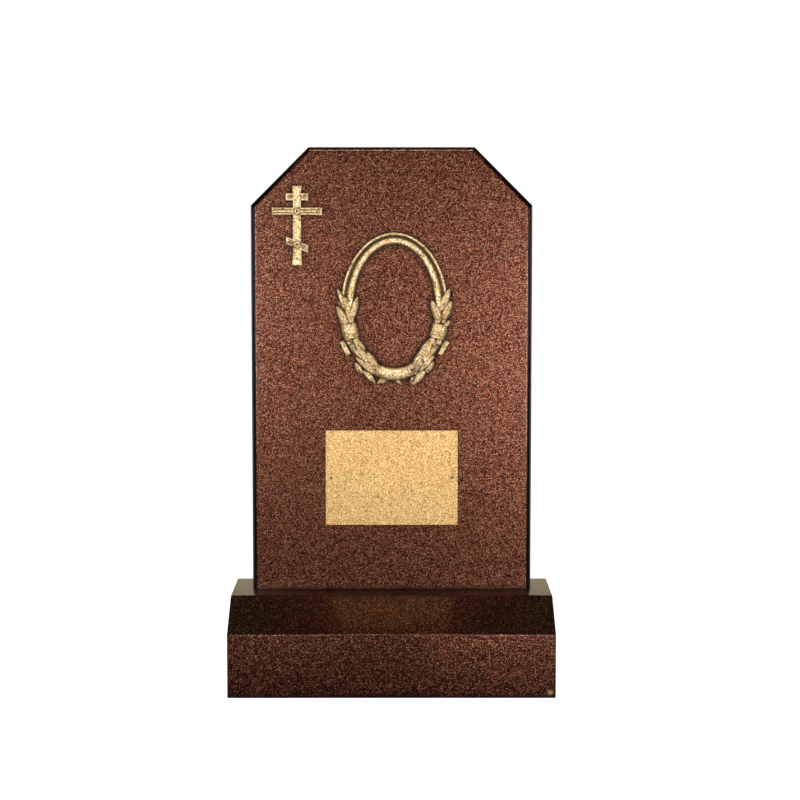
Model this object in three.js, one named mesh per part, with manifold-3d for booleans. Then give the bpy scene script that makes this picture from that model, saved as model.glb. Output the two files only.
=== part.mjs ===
// A sheet-metal grave marker: an upright slab with clipped top corners on a low
// plinth with a sloped front, and cast ornaments fixed on its face.
// Millimetres, +Z up. The face looks towards -Y, and the origin is on the
// ground under the middle of the plinth.
import * as THREE from "three";
import { mergeVertices } from "three/addons/utils/BufferGeometryUtils.js";
import Module from "manifold-3d";

const wasm = await Module();
wasm.setup();

// Sheet steel
const sheetThickness = 1.5;
const seatGap = 0.3; // air left between pieces that touch

// Plinth
const plinthWidth = 500;
const plinthDepth = 240;
const plinthFrontHeight = 98; // the upright part of the front
const slopeDepth = 88;
const slopeHeight = 44;
const plinthBendRadius = 3;
const plinthFlange = 25; // width of the edge turned in under the plinth

// Stele
const steleWidth = 438;
const steleHeight = 693;
const steleThickness = 50;
const cornerClipLength = 90; // along the top and down the side
const steleEdgeRadius = 8;

// Tack welds along the foot of the stele
const weldLength = 9;
const weldDepth = 3.5; // out from the face
const weldHeight = 2.6;
const weldShares = [-0.233, 0.041, 0.279]; // of the stele's width, from its middle
const weldNames = ["foot_weld_left", "foot_weld_middle", "foot_weld_right"];

// Cross
const crossHeight = 123.7;
const crossThickness = 4.5;
const crossBevel = 1.1;
const crossFromSide = 72.4; // stele's side to the middle of the upright bar
const crossFromTop = 59.4; // stele's top to the top of the cross
const uprightTopWidth = 15;
const uprightWaistWidth = 12;
const uprightMiddleWidth = 14.4;
const uprightFootWidth = 16.6;
const mainBarLength = 78.4;
const mainBarWidth = 12.2;
const mainBarWaistWidth = 11.3;
const mainBarHeight = 84.1; // middle of the bar above the foot of the cross
const upperBarLength = 35.7;
const upperBarWidth = 12.2;
const upperBarHeight = 106.4;
const slantBarLength = 35.4;
const slantBarWidth = 12.3;
const slantBarHeight = 32.4;
const slantBarTilt = 22; // degrees, the left end is the higher one
const bossRecessRadius = 6.4;
const recessDepth = 1.2;
const grooveWidth = 1.6;
const grooveSpacing = 4; // between the two grooves of the main bar
const grooveFromEnd = 3.4;
const panelLength = 9;
const panelWidth = 5.2;
const panelFromEnd = 3.6;

// Wreath frame, one casting with a flat back
const ovalInnerWidth = 126.2;
const ovalInnerHeight = 192.8;
const ringWidth = 19.6;
const ringHeight = 9.6;
const crownNarrowing = 0.1; // share of its width that the ring loses at its top
const wreathShiftLength = 4.2; // to the right of the stele's middle
const rollHalfAngle = 21; // degrees each way from the bottom of the oval
const rollWidth = 19.8;
const rollShiftLength = -0.5; // outwards from the middle of the ring
const rollHeight = 12.4;
const cuffFrom = 62.5; // degrees round the oval from its bottom
const cuffTo = 75;
const cuffWidth = 26;
const cuffShiftLength = 1.2; // outwards from the middle of the ring
const cuffHeight = 14.4;
const ribbonWidth = 6.6;
const ribbonHeight = 5.4;
const knotDegrees = 60.5; // round the oval from its bottom
const knotAcross = 0.34; // share of the ring's width outwards from its middle
const knotWidth = 11; // all across the egg, in the plane of the face
const knotLength = 14.1;
const knotHeight = 13;
const branchHeight = 7.7; // of the band under the leaves
const branchOverlap = 2; // degrees that it runs into the roll and the cuffs

// Name plate
const plateWidth = 207;
const plateHeight = 149;
const plateThickness = 1.5;
const plateCornerRadius = 1.5;
const plateRivetFromSide = 8.3;

// Shares of the free height of the face: below the plate, plate to wreath, above
const faceShares = [0.3405, 0.2285, 0.431];

// Rivets
const crossRivetHeadRadius = 4.9;
const plateRivetHeadRadius = 4;
const rivetHeadHeight = 1.7;
const rivetShankRadius = 2.4;
const rivetBoreRadius = 1.4; // the small round hole in the head
const rivetTailLength = 4; // reach behind the stele's sheet

// Worked out from the sizes above
const plinthHeight = plinthFrontHeight + slopeHeight;
const flatTopFront = -plinthDepth / 2 + slopeDepth;
const steleY = (flatTopFront + plinthDepth / 2) / 2; // centred on the flat top
const footZ = plinthHeight + seatGap;
const faceY = steleY - steleThickness / 2;
const ovalHalfWidth = (ovalInnerWidth + ringWidth) / 2; // to the middle of the ring
const ovalHalfHeight = (ovalInnerHeight + ringWidth) / 2;
const wreathReachUp = ovalHalfHeight + ringWidth / 2;
const wreathReachDown = ovalHalfHeight + ringWidth;
const freeHeight = steleHeight - plateHeight - wreathReachUp - wreathReachDown;
const plateZ = footZ + faceShares[0] * freeHeight + plateHeight / 2;
const wreathZ = plateZ + plateHeight / 2 + faceShares[1] * freeHeight + wreathReachDown;
const crossX = -steleWidth / 2 + crossFromSide;
const crossZ = footZ + steleHeight - crossFromTop - crossHeight;
const rivetHoleRadius = rivetShankRadius + seatGap;
const plateRivetX = plateWidth / 2 - plateRivetFromSide;
const castFloorDepth = 4; // how far a casting's forms start behind its flat back

const radians = THREE.MathUtils.degToRad;
const copperCoat = { color: 0x5b3426, roughness: 0.35, metalness: 0.6 };
const goldBronze = { color: 0xcbb07a, roughness: 0.35, metalness: 0.9 };

function toSolid(geometry) {
  const bare = geometry.clone();
  bare.deleteAttribute("normal");
  bare.deleteAttribute("uv");
  const merged = mergeVertices(bare, 1e-4);
  const vertProperties = new Float32Array(merged.attributes.position.array);
  const triVerts = new Uint32Array(merged.index.array);
  return new wasm.Manifold(new wasm.Mesh({ numProp: 3, vertProperties, triVerts }));
}

function toGeometry(solid) {
  const mesh = solid.getMesh();
  const geometry = new THREE.BufferGeometry();
  geometry.setAttribute("position", new THREE.BufferAttribute(mesh.vertProperties, 3));
  geometry.setIndex(new THREE.BufferAttribute(mesh.triVerts, 1));
  geometry.computeVertexNormals();
  return geometry;
}

function joined(solids) {
  return solids.reduce((whole, solid) => whole.add(solid));
}

function block(sizeX, sizeY, sizeZ, x, y, z) {
  return toSolid(new THREE.BoxGeometry(sizeX, sizeY, sizeZ).translate(x, y, z));
}

// A round bar along Y, for holes and recesses.
function roundBar(radius, length, x, y, z, sides = 20) {
  return toSolid(new THREE.CylinderGeometry(radius, radius, length, sides).translate(x, y, z));
}

// An outline moved inwards, with every edge parallel to its old place. The
// points run anticlockwise.
function insetOutline(points, distance) {
  return points.map((point, i) => {
    const before = points.at(i - 1);
    const after = points[(i + 1) % points.length];
    const incoming = point.clone().sub(before).normalize();
    const outgoing = after.clone().sub(point).normalize();
    const inward = new THREE.Vector2(-incoming.y - outgoing.y, incoming.x + outgoing.x);
    return point.clone().addScaledVector(inward, distance / (1 + incoming.dot(outgoing)));
  });
}

// A shape whose corners are rounded by their own radii; radius 0 stays sharp.
function roundedShape(points, radii) {
  const shape = new THREE.Shape();
  points.forEach((corner, i) => {
    const before = points.at(i - 1).clone().sub(corner).normalize();
    const after = points[(i + 1) % points.length].clone().sub(corner).normalize();
    const halfAngle = Math.acos(THREE.MathUtils.clamp(before.dot(after), -1, 1)) / 2;
    const setback = radii[i] / Math.tan(halfAngle);
    const start = corner.clone().addScaledVector(before, setback);
    const end = corner.clone().addScaledVector(after, setback);
    if (i === 0) shape.moveTo(start.x, start.y);
    else shape.lineTo(start.x, start.y);
    if (radii[i] > 0) shape.quadraticCurveTo(corner.x, corner.y, end.x, end.y);
  });
  return shape;
}

// A plate standing in the XZ plane. Its back is at y = 0 and it grows to -Y.
function uprightPlate(shape, thickness, edgeRadius = 0, edgeSteps = 5) {
  const geometry = new THREE.ExtrudeGeometry(shape, {
    depth: thickness - 2 * edgeRadius,
    curveSegments: 5,
    bevelEnabled: edgeRadius > 0,
    bevelThickness: edgeRadius,
    bevelSize: edgeRadius,
    bevelOffset: -edgeRadius,
    bevelSegments: edgeSteps,
  });
  return geometry.translate(0, 0, edgeRadius).rotateX(Math.PI / 2);
}

// A closed solid through a row of sections. Each section is a ring of Vector3
// with the same number of points; its ends are capped round a middle point,
// or the last section meets the first.
function loft(sections, isLoop = false) {
  const size = sections[0].length;
  const points = sections.flat();
  const faces = [];
  const steps = isLoop ? sections.length : sections.length - 1;
  for (let i = 0; i < steps; i += 1) {
    const row = i * size;
    const next = ((i + 1) % sections.length) * size;
    for (let j = 0; j < size; j += 1) {
      const k = (j + 1) % size;
      faces.push([row + j, row + k, next + k], [row + j, next + k, next + j]);
    }
  }
  const capped = isLoop ? [] : [0, sections.length - 1];
  for (const end of capped) {
    const middle = new THREE.Vector3();
    sections[end].forEach((point) => middle.addScaledVector(point, 1 / size));
    points.push(middle);
    for (let j = 0; j < size; j += 1) {
      const here = end * size + j;
      const after = end * size + ((j + 1) % size);
      faces.push(end === 0 ? [points.length - 1, after, here] : [points.length - 1, here, after]);
    }
  }
  let volume = 0;
  for (const [a, b, c] of faces) {
    volume += points[a].dot(points[b].clone().cross(points[c])) / 6;
  }
  const outward = volume > 0 ? faces : faces.map(([a, b, c]) => [a, c, b]);
  const geometry = new THREE.BufferGeometry().setFromPoints(points);
  geometry.setIndex(outward.flat());
  return toSolid(geometry);
}

function namedMesh(name, geometry, finish) {
  const mesh = new THREE.Mesh(geometry, new THREE.MeshStandardMaterial(finish));
  mesh.name = name;
  return mesh;
}

// Plinth: a folded profile with end plates, hollow, and open below inside a
// flange.
function plinthProfile() {
  return [
    new THREE.Vector2(-plinthDepth / 2, 0),
    new THREE.Vector2(plinthDepth / 2, 0),
    new THREE.Vector2(plinthDepth / 2, plinthHeight),
    new THREE.Vector2(flatTopFront, plinthHeight),
    new THREE.Vector2(-plinthDepth / 2, plinthFrontHeight),
  ];
}

function profileAlongX(points, bendRadius, length) {
  const radii = [0, 0, bendRadius, bendRadius, bendRadius];
  const shape = roundedShape(points, radii);
  const geometry = new THREE.ExtrudeGeometry(shape, {
    depth: length,
    curveSegments: 4,
    bevelEnabled: false,
  });
  const alongX = new THREE.Matrix4().makeBasis(
    new THREE.Vector3(0, 1, 0),
    new THREE.Vector3(0, 0, 1),
    new THREE.Vector3(1, 0, 0),
  );
  return toSolid(geometry.translate(0, 0, -length / 2).applyMatrix4(alongX));
}

function makePlinth() {
  const innerBend = Math.max(plinthBendRadius - sheetThickness, 0.5);
  const hollowProfile = insetOutline(plinthProfile(), sheetThickness);
  const outside = profileAlongX(plinthProfile(), plinthBendRadius, plinthWidth);
  const hollow = profileAlongX(hollowProfile, innerBend, plinthWidth - 2 * sheetThickness);
  const openingWidth = plinthWidth - 2 * plinthFlange;
  const openingDepth = plinthDepth - 2 * plinthFlange;
  const opening = block(openingWidth, openingDepth, 4 * sheetThickness, 0, 0, 0);
  return namedMesh("plinth", toGeometry(outside.subtract(hollow).subtract(opening)), copperCoat);
}

// Stele: a case with rounded edges, hollow, and open at its foot.
function steleOutline() {
  const half = steleWidth / 2;
  const below = -2 * steleEdgeRadius; // cut away later, with its rounded edge
  return [
    new THREE.Vector2(-half, below),
    new THREE.Vector2(half, below),
    new THREE.Vector2(half, steleHeight - cornerClipLength),
    new THREE.Vector2(half - cornerClipLength, steleHeight),
    new THREE.Vector2(-half + cornerClipLength, steleHeight),
    new THREE.Vector2(-half, steleHeight - cornerClipLength),
  ];
}

function makeStele() {
  const innerRadius = Math.max(steleEdgeRadius - sheetThickness, 0.5);
  const outside = uprightPlate(new THREE.Shape(steleOutline()), steleThickness, steleEdgeRadius);
  const hollowOutline = insetOutline(steleOutline(), sheetThickness);
  for (const point of hollowOutline) {
    if (point.y < 0) point.y -= 2 * sheetThickness; // runs out through the foot
  }
  const hollow = uprightPlate(
    new THREE.Shape(hollowOutline),
    steleThickness - 2 * sheetThickness,
    innerRadius,
  ).translate(0, -sheetThickness, 0);
  const cutHeight = 4 * steleEdgeRadius + 4 * sheetThickness;
  const belowFoot = block(2 * steleWidth, 4 * steleThickness, cutHeight, 0, 0, -cutHeight / 2);
  const holes = rivetPlaces().map(({ x, z }) => {
    return roundBar(rivetHoleRadius, 4 * sheetThickness, x, -steleThickness, z - footZ);
  });
  const shell = toSolid(outside).subtract(toSolid(hollow)).subtract(belowFoot);
  const mesh = namedMesh("stele", toGeometry(shell.subtract(joined(holes))), copperCoat);
  mesh.position.set(0, steleY + steleThickness / 2, footZ);
  return mesh;
}

// Tack welds: a quarter of an egg in the corner between face and plinth.
function makeFootWeld(name, x) {
  const egg = new THREE.SphereGeometry(1, 14, 10).scale(weldLength / 2, weldDepth, weldHeight);
  const corner = block(2 * weldLength, 2 * weldDepth, 2 * weldHeight, 0, -weldDepth, weldHeight);
  const mesh = namedMesh(name, toGeometry(toSolid(egg).intersect(corner)), copperCoat);
  mesh.position.set(x, faceY - seatGap, footZ);
  return mesh;
}

// Cross, drawn from the middle of its foot
function crossBar(points) {
  const shape = new THREE.Shape(points.map(([x, z]) => new THREE.Vector2(x, z)));
  const thickness = crossThickness + castFloorDepth;
  return toSolid(uprightPlate(shape, thickness, crossBevel, 1).translate(0, castFloorDepth, 0));
}

function mirroredOutline(rightSide) {
  const leftSide = rightSide.map(([x, z]) => [-x, z]).reverse();
  return [...rightSide, ...leftSide];
}

function levelBar(length, endWidth, waist, z) {
  const half = length / 2;
  const waistX = uprightMiddleWidth / 2;
  return crossBar([
    [-half, z - endWidth / 2],
    [-waistX, z - waist / 2],
    [waistX, z - waist / 2],
    [half, z - endWidth / 2],
    [half, z + endWidth / 2],
    [waistX, z + waist / 2],
    [-waistX, z + waist / 2],
    [-half, z + endWidth / 2],
  ]);
}

function makeCross() {
  const upright = crossBar(mirroredOutline([
    [uprightFootWidth / 2, 0],
    [uprightWaistWidth / 2, slantBarHeight],
    [uprightMiddleWidth / 2, (slantBarHeight + mainBarHeight) / 2],
    [uprightWaistWidth / 2, mainBarHeight],
    [uprightMiddleWidth / 2 - 0.6, (mainBarHeight + upperBarHeight) / 2],
    [uprightWaistWidth / 2, upperBarHeight],
    [uprightTopWidth / 2, crossHeight],
  ]));
  const slantRise = (Math.tan(radians(slantBarTilt)) * slantBarLength) / 2;
  const slantBar = crossBar([
    [-slantBarLength / 2, slantBarHeight + slantRise - slantBarWidth / 2],
    [slantBarLength / 2, slantBarHeight - slantRise - slantBarWidth / 2],
    [slantBarLength / 2, slantBarHeight - slantRise + slantBarWidth / 2],
    [-slantBarLength / 2, slantBarHeight + slantRise + slantBarWidth / 2],
  ]);
  const mainBar = levelBar(mainBarLength, mainBarWidth, mainBarWaistWidth, mainBarHeight);
  const upperBar = levelBar(upperBarLength, upperBarWidth, mainBarWaistWidth, upperBarHeight);

  const cutters = [];
  const cut = 2 * recessDepth;
  for (const side of [-1, 1]) {
    const grooveEnd = mainBarLength / 2 - grooveFromEnd;
    const grooveLength = grooveEnd - bossRecessRadius - 1;
    const grooveX = side * (grooveEnd - grooveLength / 2);
    for (const level of [-1, 1]) {
      const z = mainBarHeight + (level * grooveSpacing) / 2;
      cutters.push(block(grooveLength, cut, grooveWidth, grooveX, -crossThickness, z));
    }
    const panelX = side * (upperBarLength / 2 - panelFromEnd - panelLength / 2);
    cutters.push(block(panelLength, cut, panelWidth, panelX, -crossThickness, upperBarHeight));
    const slantPanel = new THREE.BoxGeometry(panelLength, cut, panelWidth)
      .translate(side * (slantBarLength / 2 - panelFromEnd - panelLength / 2), 0, 0)
      .rotateY(radians(slantBarTilt))
      .translate(0, -crossThickness, slantBarHeight);
    cutters.push(toSolid(slantPanel));
  }
  for (const z of [mainBarHeight, slantBarHeight]) {
    cutters.push(roundBar(bossRecessRadius, cut, 0, -crossThickness, z, 24));
    cutters.push(roundBar(rivetHoleRadius, 4 * crossThickness, 0, 0, z));
  }
  cutters.push(block(2 * mainBarLength, 2 * castFloorDepth, 4 * crossHeight, 0, castFloorDepth, 0));
  const bars = joined([upright, mainBar, upperBar, slantBar]);
  const mesh = namedMesh("cross", toGeometry(bars.subtract(joined(cutters))), goldBronze);
  mesh.position.set(crossX, faceY - seatGap, crossZ);
  return mesh;
}

// Rivets: a domed head with a small round hole, and a shank through the sheet
function rivetPlaces() {
  const onCross = { seat: crossThickness - recessDepth + seatGap, head: crossRivetHeadRadius };
  const onPlate = { seat: plateThickness + seatGap, head: plateRivetHeadRadius };
  return [
    { name: "cross_rivet_upper", x: crossX, z: crossZ + mainBarHeight, ...onCross },
    { name: "cross_rivet_lower", x: crossX, z: crossZ + slantBarHeight, ...onCross },
    { name: "plate_rivet_left", x: -plateRivetX, z: plateZ, ...onPlate },
    { name: "plate_rivet_right", x: plateRivetX, z: plateZ, ...onPlate },
  ];
}

function makeRivet({ name, x, z, seat, head }) {
  const under = seat + seatGap; // the head's underside, out from the stele's face
  const top = under + rivetHeadHeight;
  const tail = -sheetThickness - rivetTailLength;
  const profile = [
    new THREE.Vector2(0, tail),
    new THREE.Vector2(rivetShankRadius, tail),
    new THREE.Vector2(rivetShankRadius, under),
    new THREE.Vector2(head, under),
    new THREE.Vector2(head, under + 0.35 * rivetHeadHeight),
    new THREE.Vector2(0.85 * head, under + 0.75 * rivetHeadHeight),
    new THREE.Vector2(0.6 * head, top),
    new THREE.Vector2(rivetBoreRadius, top),
    new THREE.Vector2(rivetBoreRadius, under),
    new THREE.Vector2(0, under),
  ];
  const geometry = new THREE.LatheGeometry(profile, 20).rotateX(Math.PI);
  const mesh = namedMesh(name, toGeometry(toSolid(geometry)), goldBronze);
  mesh.position.set(x, faceY, z);
  return mesh;
}

function makeNamePlate() {
  const corners = [
    new THREE.Vector2(-plateWidth / 2, -plateHeight / 2),
    new THREE.Vector2(plateWidth / 2, -plateHeight / 2),
    new THREE.Vector2(plateWidth / 2, plateHeight / 2),
    new THREE.Vector2(-plateWidth / 2, plateHeight / 2),
  ];
  const shape = roundedShape(corners, corners.map(() => plateCornerRadius));
  for (const side of [-1, 1]) {
    const hole = new THREE.Path();
    hole.absarc(side * plateRivetX, 0, rivetHoleRadius, 0, 2 * Math.PI);
    shape.holes.push(hole);
  }
  const plate = toSolid(uprightPlate(shape, plateThickness));
  const mesh = namedMesh("name_plate", toGeometry(plate), goldBronze);
  mesh.position.set(0, faceY - seatGap, plateZ);
  return mesh;
}

// Wreath frame. A place on it is an angle round the oval from its bottom, a
// distance outwards from the middle of the ring, and a height off the back.
// side is 1 for the right half and -1 for the left one.
function ovalFrame(degrees, side) {
  const turn = radians(degrees);
  const point = new THREE.Vector2(ovalHalfWidth * Math.sin(turn), -ovalHalfHeight * Math.cos(turn));
  const along = new THREE.Vector2(ovalHalfWidth * Math.cos(turn), ovalHalfHeight * Math.sin(turn));
  const outward = new THREE.Vector2(ovalHalfHeight * Math.sin(turn), -ovalHalfWidth * Math.cos(turn));
  for (const vector of [point, along, outward]) vector.x *= side;
  return { point, along: along.normalize(), outward: outward.normalize() };
}

function onOval(degrees, side, across, height) {
  const { point, outward } = ovalFrame(degrees, side);
  const place = point.addScaledVector(outward, across);
  return new THREE.Vector3(place.x, -height, place.y);
}

// The ring, from its outer edge inwards: a bead, a cove and a broad roll.
// Each point is a share of the ring's width and of its height.
function makeRing() {
  const section = [
    [0.5, -castFloorDepth / ringHeight],
    [0.5, 0.3],
    [0.46, 0.5],
    [0.4, 0.54],
    [0.34, 0.4],
    [0.22, 0.34],
    [0.1, 0.48],
    [0.04, 0.76],
    [-0.06, 0.94],
    [-0.2, 1],
    [-0.36, 0.88],
    [-0.46, 0.62],
    [-0.5, 0.25],
    [-0.5, -castFloorDepth / ringHeight],
  ];
  const stations = 64;
  const rings = Array.from({ length: stations }, (_, i) => {
    const degrees = (360 * i) / stations;
    const narrowed = 1 - crownNarrowing * Math.max(-Math.cos(radians(degrees)), 0) ** 2;
    return section.map(([across, height]) => {
      const place = (across + 0.5) * narrowed - 0.5; // the inner edge stays in place
      return onOval(degrees, 1, place * ringWidth, height * ringHeight);
    });
  });
  return loft(rings, true);
}

// A smooth band over the ring from one angle to another: the bottom roll and
// the cuffs of ribbon. It swells by a little towards its middle.
function makeBand(from, to, side, width, height, shift = 0) {
  const steps = 7;
  const arcSteps = 9;
  const sections = Array.from({ length: steps }, (_, i) => {
    const share = i / (steps - 1);
    const swell = 0.93 + 0.07 * Math.sin(Math.PI * share);
    const degrees = THREE.MathUtils.lerp(from, to, share);
    const arch = Array.from({ length: arcSteps }, (_point, j) => {
      const turn = (Math.PI * j) / (arcSteps - 1);
      const across = shift + (Math.cos(turn) * width * swell) / 2;
      return onOval(degrees, side, across, height * swell * (0.25 + 0.75 * Math.sin(turn) ** 0.7));
    });
    const left = onOval(degrees, side, shift - (width * swell) / 2, -castFloorDepth);
    const right = onOval(degrees, side, shift + (width * swell) / 2, -castFloorDepth);
    return [right, ...arch, left];
  });
  return loft(sections);
}

// A laurel leaf: pointed, with two lobes and a lowered midrib. It starts at an
// angle on the oval and leans outwards from the ring by lean degrees. across,
// length and width are shares of the ring's width.
function makeLeaf(side, [degrees, across, lean, length, width, height]) {
  const { point, along, outward } = ovalFrame(degrees, side);
  const base = point.addScaledVector(outward, across * ringWidth);
  const turn = radians(lean);
  const forward = along.multiplyScalar(Math.cos(turn)).addScaledVector(outward, Math.sin(turn));
  const sideways = new THREE.Vector2(-forward.y, forward.x);
  const section = [[-1, 0], [-1, 0.5], [-0.6, 0.94], [0, 0.84], [0.6, 0.94], [1, 0.5], [1, 0]];
  const stations = [0, 0.16, 0.36, 0.58, 0.78, 0.91, 1];
  const sections = stations.map((share) => {
    const taper = Math.max(Math.sin(Math.PI * (0.15 + 0.85 * share)) ** 0.62, 0.06);
    const halfWidth = (width * ringWidth * taper) / 2;
    const rise = height * ringHeight * (0.72 + 0.28 * Math.sin(Math.PI * (0.05 + 0.9 * share)));
    return section.map(([v, h]) => {
      const place = base.clone().addScaledVector(forward, share * length * ringWidth);
      place.addScaledVector(sideways, v * halfWidth);
      return new THREE.Vector3(place.x, h === 0 ? castFloorDepth : -h * rise, place.y);
    });
  });
  return loft(sections);
}

// A flat ribbon end with a square tip, between two places on the oval
function makeRibbonEnd(side, [fromDegrees, fromAcross], [toDegrees, toAcross]) {
  const start = onOval(fromDegrees, side, fromAcross * ringWidth, 0);
  const end = onOval(toDegrees, side, toAcross * ringWidth, 0);
  const forward = end.clone().sub(start).normalize();
  const sideways = new THREE.Vector3(-forward.z, 0, forward.x).multiplyScalar(ribbonWidth / 2);
  const sections = [0, 0.33, 0.67, 1].map((share) => {
    const middle = start.clone().lerp(end, share);
    const wave = ribbonHeight * (1 + 0.25 * Math.cos(2 * Math.PI * share));
    return [[-1, castFloorDepth], [-1, -wave], [1, -0.8 * wave], [1, castFloorDepth]].map(([v, y]) => {
      return middle.clone().addScaledVector(sideways, v).setY(y);
    });
  });
  return loft(sections);
}

// The knot where the ribbon turns over, an egg low on the outer side of a cuff
function makeKnot(side) {
  const middle = onOval(knotDegrees, side, knotAcross * ringWidth, 0);
  const egg = new THREE.SphereGeometry(1, 12, 8);
  egg.scale(knotWidth / 2, knotHeight, knotLength / 2);
  return toSolid(egg.translate(middle.x, 0, middle.z));
}

// Leaves, each as [degrees, across, lean, length, width, height]
const leftLeaves = [
  [84.5, 0, 19, 2.1, 0.48, 1.1],
  [87, 0.32, 28, 0.85, 0.28, 0.66],
  [76.5, -0.14, 3, 2.05, 0.52, 1.22],
  [77.5, -0.16, -25, 2, 0.6, 1.3],
  [73.5, 0.14, 17, 1.8, 0.64, 1.34],
  [72, 0.3, 23, 1, 0.3, 1.04],
  [75.5, -0.16, -33, 0.6, 0.26, 1.14],
  [49, -0.18, -3, 1.25, 0.56, 1.2],
  [46, -0.34, -2, 1.2, 0.46, 1.1],
  [42, 0.16, 2, 1.1, 0.36, 1.14],
  [36, -0.04, 7, 1.3, 0.44, 1.24],
  [32, -0.04, -11, 1.85, 0.54, 1.34],
  [22.5, -0.02, -30, 1.6, 0.64, 1.4],
  [17.5, 0.24, -51, 1, 0.46, 1.4],
  [21.5, 0.34, -10, 2, 0.5, 1.38],
  [20, 0.2, -13, 1.6, 0.46, 1.32],
  [31.5, 0.98, -19, 1, 0.46, 1.06],
  [32, 0.66, 173, 1.4, 0.5, 1],
  [10.5, 0.34, 56, 0.75, 0.34, 0.6],
];
const rightLeaves = [
  [87, 0, 20, 1.8, 0.64, 1.18],
  [77, -0.02, -30, 1.85, 0.68, 1.34],
  [79.5, 0.26, 15, 1.6, 0.64, 1.28],
  [73, 0.32, 35, 0.75, 0.46, 1.14],
  [76, 0.12, 46, 0.5, 0.28, 1.2],
  [47, -0.22, -10, 1.25, 0.56, 1.2],
  [45, 0.14, 4, 1.05, 0.42, 1.16],
  [37, -0.32, -16, 1.6, 0.56, 1.28],
  [34.5, -0.06, -13, 1.7, 0.56, 1.36],
  [32, -0.08, 3, 1.65, 0.56, 1.3],
  [28, 0.36, -6, 1.65, 0.56, 1.3],
  [25.5, 0, -33, 1.6, 0.6, 1.4],
  [25, 0.26, -29, 1.5, 0.46, 1.4],
  [32, 0.84, -12, 1.05, 0.48, 1.06],
  [31.5, 0.68, 172, 1.5, 0.56, 1],
  [19.5, 0.52, 130, 0.65, 0.28, 0.6],
];
const stemTips = [
  [-9, 0.3, 113, 0.6, 0.42, 0.7],
  [0, 0.34, 39, 0.8, 0.26, 0.7],
];
// Ribbon ends, each from one place to another as [degrees, across]
const ribbonEnds = [
  [[62.5, 0.96], [51, 0.86]],
  [[60, 0.3], [60, 1]],
];

function makeWreathFrame() {
  const forms = [
    makeRing(),
    makeBand(-rollHalfAngle, rollHalfAngle, 1, rollWidth, rollHeight, rollShiftLength),
    ...leftLeaves.map((leaf) => makeLeaf(-1, leaf)),
    ...rightLeaves.map((leaf) => makeLeaf(1, leaf)),
    ...stemTips.map((leaf) => makeLeaf(1, leaf)),
  ];
  for (const side of [-1, 1]) {
    forms.push(makeBand(cuffFrom, cuffTo, side, cuffWidth, cuffHeight, cuffShiftLength));
    const branchFrom = rollHalfAngle - branchOverlap;
    const branchTo = cuffFrom + branchOverlap;
    forms.push(makeBand(branchFrom, branchTo, side, ringWidth, branchHeight));
    forms.push(makeKnot(side));
    ribbonEnds.forEach(([from, to]) => forms.push(makeRibbonEnd(side, from, to)));
  }
  const behind = block(4 * ovalInnerWidth, 4 * castFloorDepth, 4 * ovalInnerHeight, 0, 2 * castFloorDepth, 0);
  const mesh = namedMesh("wreath_frame", toGeometry(joined(forms).subtract(behind)), goldBronze);
  mesh.position.set(wreathShiftLength, faceY - seatGap, wreathZ);
  return mesh;
}

const group = new THREE.Group();
group.add(makePlinth());
group.add(makeStele());
weldNames.forEach((name, i) => group.add(makeFootWeld(name, weldShares[i] * steleWidth)));
group.add(makeCross());
group.add(makeWreathFrame());
group.add(makeNamePlate());
rivetPlaces().forEach((rivet) => group.add(makeRivet(rivet)));

export default group;
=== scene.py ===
import math

import bpy
import numpy as np
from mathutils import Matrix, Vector


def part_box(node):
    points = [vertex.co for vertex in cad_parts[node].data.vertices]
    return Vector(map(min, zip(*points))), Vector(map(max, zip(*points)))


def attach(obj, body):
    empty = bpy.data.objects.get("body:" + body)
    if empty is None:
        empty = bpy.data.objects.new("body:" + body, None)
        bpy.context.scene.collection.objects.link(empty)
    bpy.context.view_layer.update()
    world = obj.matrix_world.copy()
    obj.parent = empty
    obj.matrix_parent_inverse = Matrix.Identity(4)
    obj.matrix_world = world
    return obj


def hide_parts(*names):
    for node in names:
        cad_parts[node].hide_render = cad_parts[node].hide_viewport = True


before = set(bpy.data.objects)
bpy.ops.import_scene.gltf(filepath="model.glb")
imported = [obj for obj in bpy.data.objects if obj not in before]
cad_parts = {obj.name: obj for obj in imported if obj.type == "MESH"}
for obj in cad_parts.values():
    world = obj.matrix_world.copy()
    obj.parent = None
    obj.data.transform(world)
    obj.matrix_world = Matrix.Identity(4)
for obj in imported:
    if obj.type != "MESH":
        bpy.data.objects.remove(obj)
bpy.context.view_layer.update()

# A sheet-metal grave marker with cast ornaments. Lengths of the pieces and the
# camera are millimetres, and mm turns them into metres. Those of the materials
# and the studio are metres.
mm = 0.001

camera = {
    "place": (8.01, -3476.47, 782.51),
    "pitchDown": 5.562,  # degrees
    "turnRight": 0.083,  # degrees
    "lens": 101.04,
    "sensor": 36.0,
    "clipStart": 50.0,
    "clipEnd": 60000.0,
}


def makeCamera():
    data = bpy.data.cameras.new("photoCamera")
    data.lens = camera["lens"]
    data.sensor_width = camera["sensor"]
    data.clip_start = camera["clipStart"] * mm
    data.clip_end = camera["clipEnd"] * mm
    eye = bpy.data.objects.new("photoCamera", data)
    eye.location = [v * mm for v in camera["place"]]
    eye.rotation_euler = (
        math.radians(90 - camera["pitchDown"]),
        0,
        math.radians(-camera["turnRight"]),
    )
    bpy.context.scene.collection.objects.link(eye)
    bpy.context.scene.camera = eye


makeCamera()
bpy.context.scene.view_settings.view_transform = "Standard"
print("camera ready")


# Sizes and places that the pieces share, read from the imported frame
def nodeBox(node):
    low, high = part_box(node)
    return np.array(low) / mm, np.array(high) / mm


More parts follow.
